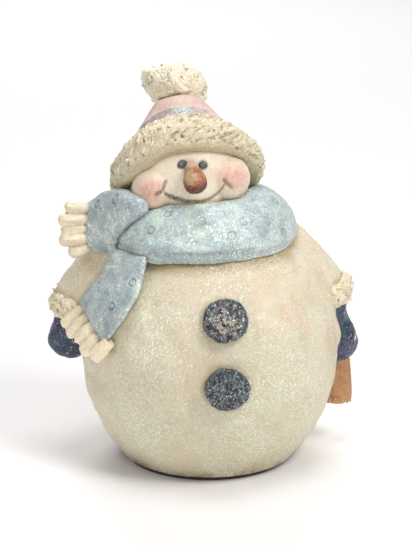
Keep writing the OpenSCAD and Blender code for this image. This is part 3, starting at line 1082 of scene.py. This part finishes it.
def makeWrap(look):
    tree = treeOf("scarf_wrap")
    midR, midZ = look["middle"]
    far = 22.0      # the section is measured inwards, from this far outside
    x0, y0 = place["scarfMiddle"]
    turns = np.linspace(0, 2 * pi, look["around"], endpoint=False)
    slopes = np.linspace(0, 2 * pi, look["section"], endpoint=False)
    reach = np.zeros((len(turns), len(slopes)))
    for i, turn in enumerate(turns):
        origin = Vector((x0 + midR * cos(turn), y0 + midR * sin(turn), midZ))
        for j, slope in enumerate(slopes):
            way = Vector((cos(slope) * cos(turn), cos(slope) * sin(turn), sin(slope)))
            hit, _, _, d = tree.ray_cast(origin + way * far, -way, far)
            reach[i, j] = far - d if hit is not None else np.nan
    usual = np.nanmedian(reach, axis=0)[None]
    behind = np.sin(turns)[:, None] > 0.1
    odd = np.isnan(reach) | (np.abs(reach - usual) > look["odd"]) & behind
    reach = np.where(odd, usual, reach)
    for _ in range(look["soften"]):
        reach = (reach * 2 + np.roll(reach, 1, 1) + np.roll(reach, -1, 1)) / 4
        reach = (reach * 2 + np.roll(reach, 1, 0) + np.roll(reach, -1, 0)) / 4
    slope, turn = np.meshgrid(slopes, turns)
    r = midR + reach * np.cos(slope)
    z = midZ + reach * np.sin(slope)
    points = np.stack([x0 + r * np.cos(turn), y0 + r * np.sin(turn), z], -1).reshape(-1, 3)
    ob = build("scarfWrap", points, gridFaces(len(turns), len(slopes), True, True))
    out = normalsOf(ob)
    if (out * (points - np.array([x0, y0, midZ]))).sum() < 0:
        ob.data.flip_normals()
        out = -out
    s, t = slope.ravel(), turn.ravel()
    s = np.where(s > pi, s - 2 * pi, s)
    amount, at, wide = look["lobe"]
    front = (np.degrees(t) + 90 + 180) % 360 - 180      # 0 at the front, positive on its left
    move = amount * bell((front - at) / wide) * np.clip(np.sin(s) + 0.6, 0, 1.2)
    # folds run round the neck and slant; they fade towards the hidden inside
    slanted = t - (s - 0.8) * 0.35
    bands = np.stack([6.5 * np.cos(slanted), 6.5 * np.sin(slanted), s * 2.2 + 1.2 * np.sin(t)], -1)
    outside = clamp(np.cos(s - 0.25) + 0.25)
    move += 1.0 * lumps(bands, 3.1, 7, 2) * outside
    # the lower edge is rolled under, in and out like cloth
    edge = -36 + 9 * lumps(9 * onCircle(t), 3.0, 13)
    crease = bell((np.degrees(s) - edge) / 6)
    move -= 0.45 * crease * outside
    points = points + out * move[:, None]
    points += out * (waved(points, look["waves"], 7) * outside)[:, None]
    away, rise = overShoulder(points, 1.0)
    rise = np.where(outside > 0.05, np.minimum(rise, 9), 0)
    rise = np.maximum(rise, relaxed(np.tile(rise[:, None], 3), edgesOf(ob), 60)[:, 0] * 1.15)
    points += away * rise[:, None]
    setPoints(ob, points)
    out = normalsOf(ob)
    back = [(x0 + 33 * cos(a), y0 + 33 * sin(a), 92.5 + 3 * sin(5 * a))
            for a in np.linspace(radians(15), radians(165), look["backRings"])]
    setPoints(ob, pressRings(points, out, look["rings"] + back, look))
    # painted shade, partly darker paint: under the rolled lower edge and on the wrap's lower left, away from the
    # light
    under = clamp((edge + 10 - np.degrees(s)) / 12) * (s < 0)
    low = clamp((-np.degrees(s) - 2) / 30) * bell((front + 46) / 24)
    mark(ob, "under", np.maximum(under, 0.8 * low))
    # painted highlight: paler glitter on the front of the wrap
    mark(ob, "bright", bell((front + 12) / 34) * clamp(1 - under * 1.5))
    markHollows(ob, 0.28)
    markJoints(ob, ["body_shell", "head", "scarf_short_end"], 1.4)
    return ob


def makeEnd(node, name, look, waves):
    ob = startPiece(node, name, look["endVoxel"], look["endSoften"])
    points, out = skinOf(ob)
    points += out * (waved(points, waves, 15) + look["endThick"])[:, None]
    setPoints(ob, points)
    lo, hi = boxOf(node)
    mine = [c for c in look["endRings"] if np.all(np.array(c) > lo - 1) and np.all(np.array(c) < hi + 1)]
    setPoints(ob, pressRings(points, normalsOf(ob), mine, look))
    markHollows(ob, 0.28)
    return ob


scarfPaint = {
    "paint": (0.50, 0.60, 0.57), "second": (0.42, 0.51, 0.53), "wash": (0.20, 0.19, 0.16), "patch": 7,
    "roughness": 0.4, "washAmount": 0.85, "patchiness": 0.10, "patches": 200.0, "holes": 330.0,
    "holeShare": 0.02, "coverage": 0.9, "wideCoverage": 0.26, "tint": 0.36, "spread": 0.45, "glint": 1.0,
    "metal": 0.15, "flakes": 1900.0, "drift": 7, "wear": 0.3, "bare": (0.66, 0.72, 0.66), "bump": 0.7,
    # painted highlight on the wrap's front, and random pale mottling on the long end
    "layers": [([(6, 4, 0.55, 0.35, 0.65), ("bright", 1, 0.25)], 0.85, (0.68, 0.83, 0.74)),
               ([(4.5, 5, 0.65, 0.46, 0.62)], 0.62, (0.22, 0.30, 0.35)),
               ([(8, 3, 0.5, 0.50, 0.62)], 0.45, (0.33, 0.45, 0.52)),
               # painted shade, partly darker paint, under the wrap and on its lower left
               (["under"], 0.6, (0.30, 0.36, 0.35))],
}
# painted shade: the ends get a darker copy of the scarf paint, as they hang on the side away from the key lamp
shadedScarfEndPaint = {**scarfPaint, "paint": (0.38, 0.435, 0.44), "second": (0.46, 0.52, 0.51), "coverage": 0.85,
            "wideCoverage": 0.18, "glint": 0.9, "tint": 0.28}
endFinish = paintedResin("scarfEndPaint", shadedScarfEndPaint)
finishPiece(makeWrap(scarfLook), "scarf_resin", paintedResin("scarfPaint", scarfPaint), "scarf_wrap")
shortEnd = makeEnd("scarf_short_end", "scarfShortEnd", scarfLook, [(7, 0.45), (2.6, 0.18), (1.1, 0.07)])
markJoints(shortEnd, ["scarf_wrap", "short_fringe"], 1.6)
finishPiece(shortEnd, "scarf_resin", endFinish, "scarf_short_end")
longEnd = makeEnd("scarf_long_end", "scarfLongEnd", scarfLook, [(8, 0.45), (3.2, 0.2), (1.1, 0.07)])
markJoints(longEnd, ["scarf_wrap", "long_fringe"], 1.3)
# on the long end the same mask is only random pale mottling
mark(longEnd, "bright", 0.9 * lumps(pointsOf(longEnd), 9.0, 45) + 0.35)
finishPiece(longEnd, "scarf_resin", endFinish, "scarf_long_end")


# ---- fringes: five fat tassels each, with a few strokes of the tool along them
fringeLook = {"count": 5, "voxel": 0.3, "thick": 2.3, "waves": [(2.6, 0.22), (1.2, 0.10)]}


def tassel(path, thick, twist):
    def combedRound(turn, t):
        fade = min(1.0, max(0.0, (t - 0.35) * 3))
        return 1 + fade * (0.07 * np.cos(3 * turn + twist + 1.2 * t) + 0.06 * np.cos(7 * turn - twist))
    t = np.linspace(0, 1, len(path))
    swell = thick * np.interp(t, [0, 0.25, 0.6, 0.84, 0.94, 1], [0.80, 0.86, 1.04, 1.08, 0.84, 0.40])
    return tube(path, swell, 40, combedRound)


def makeFringe(name, paths, look, seed):
    rng = np.random.default_rng(seed)
    strands = Heap()
    for path in paths:
        strands.add(*tassel(path, look["thick"] * rng.uniform(0.92, 1.08), rng.uniform(0, 6)))
    ob = strands.made(name)
    remesh(ob, look["voxel"])
    soften(ob, 3)
    roughen(ob, seed, look["waves"])
    markHollows(ob, 0.30, 12)
    return ob


def shortFringePaths(look):
    lo, hi = boxOf("short_fringe")
    paths = []
    for i in range(look["count"]):
        t = i / (look["count"] - 1)
        root = np.array([hi[0] + 0.6, 0.62 * hi[1] + 0.38 * lo[1] - 1.6 * t, hi[2] - 3.2 - 12.4 * t])
        tip = np.array([lo[0] + 2.2 + 2.0 * abs(t - 0.45) * 2, lo[1] + 2.6 - 1.0 * t, hi[2] - 2.4 - 15.2 * t])
        tip += np.array([(0.6, -1.0, 0.5, -1.4, 1.0)[i], 0.5 * (-1) ** i, (0.7, 0.1, -0.5, 0.5, -0.3)[i]])
        paths.append(bent(root, tip, (0, -0.7, 0.5 - t), 26))
    return paths


# a point on the figure's side, under a spot of the plane that the tail's outline is drawn on
def overSide(tree, u, v, lift):
    above = tailAxes @ np.array([u, v, 120.0])
    hit, _, _, _ = tree.ray_cast(Vector(above), Vector(-tailAxes[:, 2]))
    return np.array(hit) + tailAxes[:, 2] * lift


def longFringePaths(look):
    tree = treeOf("body_shell", "right_arm", "right_mitten", "right_cuff", "long_fringe")
    paths = []
    for i in range(look["count"]):
        extra = np.array([(0.2, -1.2, 0.9, -0.7, 1.0)[i], (0.5, -0.3, 0.4, -0.8, 0.4)[i]])
        a, b = np.array([-43.6 + 2.2 * i, 55.6 - 3.2 * i]), np.array([-53.0 + 2.9 * i, 47.0 - 2.6 * i]) + extra
        line = np.array([overSide(tree, *(a * (1 - t) + b * t), sin(pi * t) - 1.8) for t in np.linspace(0, 1, 26)])
        for _ in range(30):
            line[1:-1] = (line[:-2] + line[1:-1] * 2 + line[2:]) / 4
        paths.append(line)
    return paths


fringePaint = {"paint": (0.83, 0.73, 0.54), "second": (0.79, 0.68, 0.48), "wash": (0.40, 0.25, 0.11), "patch": 5,
               "washAmount": 0.85, "patchiness": 0.10, "holeShare": 0.03, "coverage": 0.6,
               "wideCoverage": 0.08, "tint": 0.25, "glint": 0.7, "wear": 0.35, "bare": (0.93, 0.87, 0.74)}
fringeFinish = paintedResin("fringePaint", fringePaint)
shortFringe = makeFringe("shortFringe", shortFringePaths(fringeLook), fringeLook, 101)
markJoints(shortFringe, ["scarf_short_end"], 1.4)
finishPiece(shortFringe, "fringe_resin", fringeFinish, "short_fringe")
longFringe = makeFringe("longFringe", longFringePaths(fringeLook), {**fringeLook, "thick": 2.75}, 103)
markJoints(longFringe, ["scarf_long_end"], 1.4)
# painted light: a lighter copy of the fringe paint for the long fringe, which hangs in shade
litLongFringePaint = {**fringePaint, "paint": (0.95, 0.84, 0.60), "second": (0.91, 0.79, 0.54), "washAmount": 0.7}
finishPiece(longFringe, "fringe_resin", paintedResin("longFringePaint", litLongFringePaint), "long_fringe")


# ---- mittens: lumpy fists under dark glitter
mittenLook = {"voxel": 0.42, "waves": [(5, 0.45), (2.2, 0.2), (0.9, 0.1)]}


def makeMitten(node, name, thumbs, look):
    ob = startPiece(node, name, look["voxel"], 3)
    points, out = skinOf(ob)
    for at, wide, rise in thumbs:
        points += out * (rise * bell(sizes(points - np.array(at)) / wide))[:, None]
    points += out * waved(points, look["waves"], 23)[:, None]
    setPoints(ob, points)
    markHollows(ob, 0.35)
    return ob


mittenPaint = {"paint": (0.02, 0.03, 0.06), "second": (0.05, 0.07, 0.11), "wash": (0.015, 0.015, 0.02),
               "patch": 5, "roughness": 0.38, "washAmount": 0.7, "patchiness": 0.05, "holeShare": 0.03,
               "coverage": 0.8, "wideCoverage": 0.16, "tint": 0.06, "spread": 0.7, "metal": 0.2,
               "specular": 0.22, "drift": 3.5,
               "layers": [([(4, 3, 0.55, 0.45, 0.62)], 0.7, (0.10, 0.07, 0.17)),
                          ([(2.3, 3, 0.55, 0.55, 0.7)], 0.7, (0.03, 0.17, 0.17)),
                          (["chip", (0.9, 3, 0.55, 0.35, 0.6, 0.1, 1.5)], 1.0, (0.82, 0.78, 0.70), (0.45, 0.55))]}
mittenFinish = paintedResin("mittenPaint", mittenPaint)
rightMitten = makeMitten("right_mitten", "rightMitten",
                         [((-50, -4, 46), 4.0, 1.4), ((-57, 2, 42), 5.0, 0.8)], mittenLook)
finishPiece(rightMitten, "mitten_resin", mittenFinish, "right_mitten")
leftMitten = makeMitten("left_mitten", "leftMitten",
                        [((55, 0, 43), 4.0, 1.5), ((57, 7, 38), 4.0, 1.2), ((55, 3, 51), 3.5, -1.2)], mittenLook)
# a chip where the dark paint is knocked off
chip = sizes((pointsOf(leftMitten) - np.array([57.0, 0.5, 42.0])) * np.array([0.8, 1.3, 0.8]))
mark(leftMitten, "chip", 1.5 - chip / 1.3)
finishPiece(leftMitten, "mitten_resin", mittenFinish, "left_mitten")


# ---- coal buttons: granular domes
buttonLook = {"voxel": 0.3, "waves": [(5.0, 0.3), (1.7, 0.42), (0.8, 0.28)]}


def makeButton(node, name, seed, look):
    ob = startPiece(node, name, look["voxel"])
    points, out = skinOf(ob)
    lo, hi = boxOf(node)
    crown = clamp((hi[1] - points[:, 1]) / (hi[1] - lo[1]) * 2.2 - 0.7)
    points += out * (waved(points, look["waves"], seed) * crown)[:, None]
    middle = (lo + hi) / 2
    turn = np.arctan2(points[:, 2] - middle[2], points[:, 0] - middle[0])
    edge = 0.965 + 0.05 * lumps(onCircle(turn) * 1.7, 1.0, seed)
    points[:, 0] = middle[0] + (points[:, 0] - middle[0]) * edge
    points[:, 2] = middle[2] + (points[:, 2] - middle[2]) * edge * 0.97
    setPoints(ob, points)
    away = np.hypot(points[:, 0] - middle[0] + 0.6, points[:, 2] - middle[2] - 0.3)
    mark(ob, "centre", 1.25 - away / 6.0)
    markHollows(ob, 0.3, 8)
    return ob


coalPaint = {"paint": (0.02, 0.024, 0.035), "second": (0.045, 0.05, 0.07), "wash": (0.012, 0.012, 0.016),
             "patch": 3, "roughness": 0.4, "washAmount": 1.0, "patchiness": 0.0, "holeShare": 0.08,
             "holes": 700.0, "coverage": 0.8, "wideCoverage": 0.22, "tint": 0.07, "spread": 0.8, "glint": 0.75,
             "metal": 0.2, "bump": 0.9, "specular": 0.25, "drift": 2.6}
for side, seed, worn, name in (("upper", 5, 0.7, "wornCoal"), ("lower", 12, 0.15, "glitterCoal")):
    layers = [([(1.1, 2, 0.55, 0.52, 0.60)], 0.7, (0.20, 0.25, 0.27)),
              ([(2.6, 2, 0.55, 0.56, 0.7)], 0.55, (0.10, 0.26, 0.25)),
              (["centre", (2.2, 3, 0.55, 0.44, 0.56)], worn, (0.62, 0.50, 0.39))]
    button = makeButton(side + "_button", side + "Button", seed, buttonLook)
    finishPiece(button, "coal_resin", paintedResin(name, {**coalPaint, "layers": layers}), side + "_button")


# ---- the broom: a bundle of straws round the stick's end
strawLook = {"straws": 150, "voxel": 0.3, "thick": 0.62, "seed": 37, "ragged": 0.35, "core": 0.45}


def makeStraw(look):
    rng = np.random.default_rng(look["seed"])
    ob = startPiece("broom_straw", "broomStraw", 0.5)
    points, out = skinOf(ob)
    setPoints(ob, points - out * look["core"])      # the solid core lies just under the straws
    lo, hi = boxOf("broom_straw")
    head = np.array([place["leftFist"][0] + 0.2, place["leftFist"][1] - 0.5, hi[2] + 0.5])
    foot = np.array([hi[0] - 6.8, (lo[1] + hi[1]) / 2 - 2.2, lo[2] + 1.6])
    straws = Heap()
    for n in range(look["straws"]):
        turn, r = n * 2.39996, np.sqrt((n + 0.5) / look["straws"])
        spread = np.array([cos(turn), sin(turn), 0])
        start = head + spread * 5.2 * r
        end = foot + spread * 6.3 * r + np.array([0, 0, rng.uniform(-1, 1) * look["ragged"]])
        path = bent(start, end, rng.normal(0, 0.25, 3), 8)
        straws.add(*tube(path, look["thick"] * np.array([1, 1, 1, 1, 1, 1, 0.9, 0.55]), 6))
    ob = addMesh(ob, straws.made("straws"))
    remesh(ob, look["voxel"])
    soften(ob, 1)
    points = pointsOf(ob)
    mark(ob, "foot", (lo[2] + 4.5 - points[:, 2]) / 3.0)
    markHollows(ob, 0.28, 8)
    return ob


strawPaint = {"paint": (0.47, 0.235, 0.10), "second": (0.40, 0.19, 0.085), "wash": (0.22, 0.10, 0.04), "patch": 3,
              "roughness": 0.5, "washAmount": 0.8, "patchiness": 0.08, "holeShare": 0.03, "coverage": 0.35,
              "wideCoverage": 0.08, "tint": 0.3, "glint": 0.4, "wear": 0.2, "bare": (0.66, 0.42, 0.22),
              "layers": [(["foot"], 0.5, (0.55, 0.42, 0.20))]}
finishPiece(makeStraw(strawLook), "straw_resin", paintedResin("strawPaint", strawPaint), "broom_straw")


# ---- the plain inner parts keep their CAD shape and get their own finish
def woodGrain(name, light, dark):
    material, tree, inputs = newMaterial(name, 0.6)
    where = put(tree, "ShaderNodeMapping", {0: places(tree), 3: (1, 1, 0.12)}).outputs[0]     # the grain runs up
    grain = cloud(tree, 0.6, 6.0, 0.65, where)
    figure = cloud(tree, 4.0, 3.0, 0.5, where)
    color = blendColor(tree, stretch(tree, grain, 0.35, 0.65), light, dark)
    color = blendColor(tree, times(tree, stretch(tree, figure, 0.4, 0.7), 0.4), color, dark)
    feed(tree, inputs["Base Color"], color)
    feed(tree, inputs["Normal"], bumped(tree, grain, 0.5, 0.2))
    return material


def feltFinish():
    material, tree, inputs = newMaterial("felt", 0.95, Sheen_Weight=0.3)
    fuzz = cloud(tree, 0.35, 6.0, 0.75)
    # the felt pad is guessed; its near-black brown also makes the dark line under the foot, painted shade
    color = blendColor(tree, stretch(tree, fuzz, 0.3, 0.7), (0.025, 0.02, 0.015), (0.09, 0.075, 0.055))
    color = blendColor(tree, times(tree, cloud(tree, 3.0, 3.0), 0.3), color, (0.04, 0.032, 0.025))
    feed(tree, inputs["Base Color"], color)
    feed(tree, inputs["Normal"], bumped(tree, fuzz, 0.8, 0.3))
    return material


plugPaint = {"paint": (0.74, 0.70, 0.62), "second": (0.70, 0.66, 0.57), "wash": (0.5, 0.45, 0.36), "patch": 6,
             "roughness": 0.65, "holeShare": 0.12, "coverage": 0.02, "wideCoverage": 0.0, "glint": 0.0}
pinPaint = {"paint": (0.5, 0.5, 0.5), "second": (0.42, 0.42, 0.43), "wash": (0.2, 0.18, 0.15), "patch": 2,
            "roughness": 0.35, "holeShare": 0.0, "coverage": 0.02, "wideCoverage": 0.0, "glint": 0.0}
birch = woodGrain("birch", (0.66, 0.50, 0.32), (0.50, 0.35, 0.20))
wire = paintedResin("pinWire", pinPaint)
kept = {"base_plug": paintedResin("plainResin", plugPaint), "felt_pad": feltFinish(), "neck_dowel": birch,
        "bobble_peg": birch, "broom_handle": woodGrain("stick", (0.42, 0.26, 0.13), (0.24, 0.13, 0.06)),
        "right_arm_pin": wire, "left_arm_pin": wire}
for node, material in kept.items():
    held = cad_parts[node]
    held.data.materials.clear()
    held.data.materials.append(material)


# ---- floor, lights and camera
studio = {"aim": (-0.7, 0.0, 68.9), "turn": -8.0, "rise": 16.0, "away": 650.0, "lens": 114.9,
          "world": 0.25, "floor": 3000.0,
          # where each lamp stands in metres, how wide it is, its power and its tint
          "lamps": {"key": ((0.42, -0.50, 0.80), 0.35, 4.75, (1, 0.99, 0.97)),
                    "top": ((0.05, -0.05, 1.10), 0.60, 4.3, (1, 1, 1)),
                    "front": ((-0.05, -0.95, 0.35), 0.50, 0.95, (1, 1, 1)),
                    "left": ((-0.75, -0.45, 0.55), 0.50, 1.15, (0.98, 0.99, 1)),
                    "back": ((0.0, 1.50, 1.20), 1.20, 17.0, (1, 1, 1))}}


def makeFloor(look):
    wide = look["floor"]
    points = np.array([(-wide, -wide, 0), (wide, -wide, 0), (wide, wide, 0), (-wide, wide, 0)], float)
    ob = build("floor", points, [[0, 1, 2, 3]])
    material, _, _ = newMaterial("paperFloor", 0.9, Base_Color=(0.93, 0.915, 0.92, 1), Specular_IOR_Level=0.1)
    ob.data.materials.append(material)


def lamp(name, where, size, power, color):
    data = bpy.data.lights.new(name, "AREA")
    data.shape, data.size, data.energy, data.color = "DISK", size, power, color
    ob = bpy.data.objects.new(name, data)
    ob.location = where
    ob.rotation_euler = (Vector(studio["aim"]) * mm - Vector(where)).to_track_quat("-Z", "Y").to_euler()
    bpy.context.scene.collection.objects.link(ob)


def makeStudio(look):
    world = bpy.data.worlds.new("studio")
    world.use_nodes = True
    world.node_tree.nodes["Background"].inputs["Color"].default_value = (1, 0.99, 0.98, 1)
    world.node_tree.nodes["Background"].inputs["Strength"].default_value = look["world"]
    bpy.context.scene.world = world
    for name, (where, size, power, color) in look["lamps"].items():
        lamp(name, where, size, power, color)
    data = bpy.data.cameras.new("camera")
    data.lens, data.sensor_width, data.sensor_fit = look["lens"], 36, "AUTO"
    data.clip_start, data.clip_end = 0.01, 50
    camera = bpy.data.objects.new("camera", data)
    turn, rise = radians(look["turn"]), radians(look["rise"])
    back = Vector((sin(turn) * cos(rise), -cos(turn) * cos(rise), sin(rise)))
    aim = Vector(look["aim"]) * mm
    camera.location = aim + back * look["away"] * mm
    camera.rotation_euler = (-back).to_track_quat("-Z", "Y").to_euler()
    bpy.context.scene.collection.objects.link(camera)
    bpy.context.scene.camera = camera
    bpy.context.scene.view_settings.view_transform = "Standard"


makeFloor(studio)
makeStudio(studio)
print("studio set")
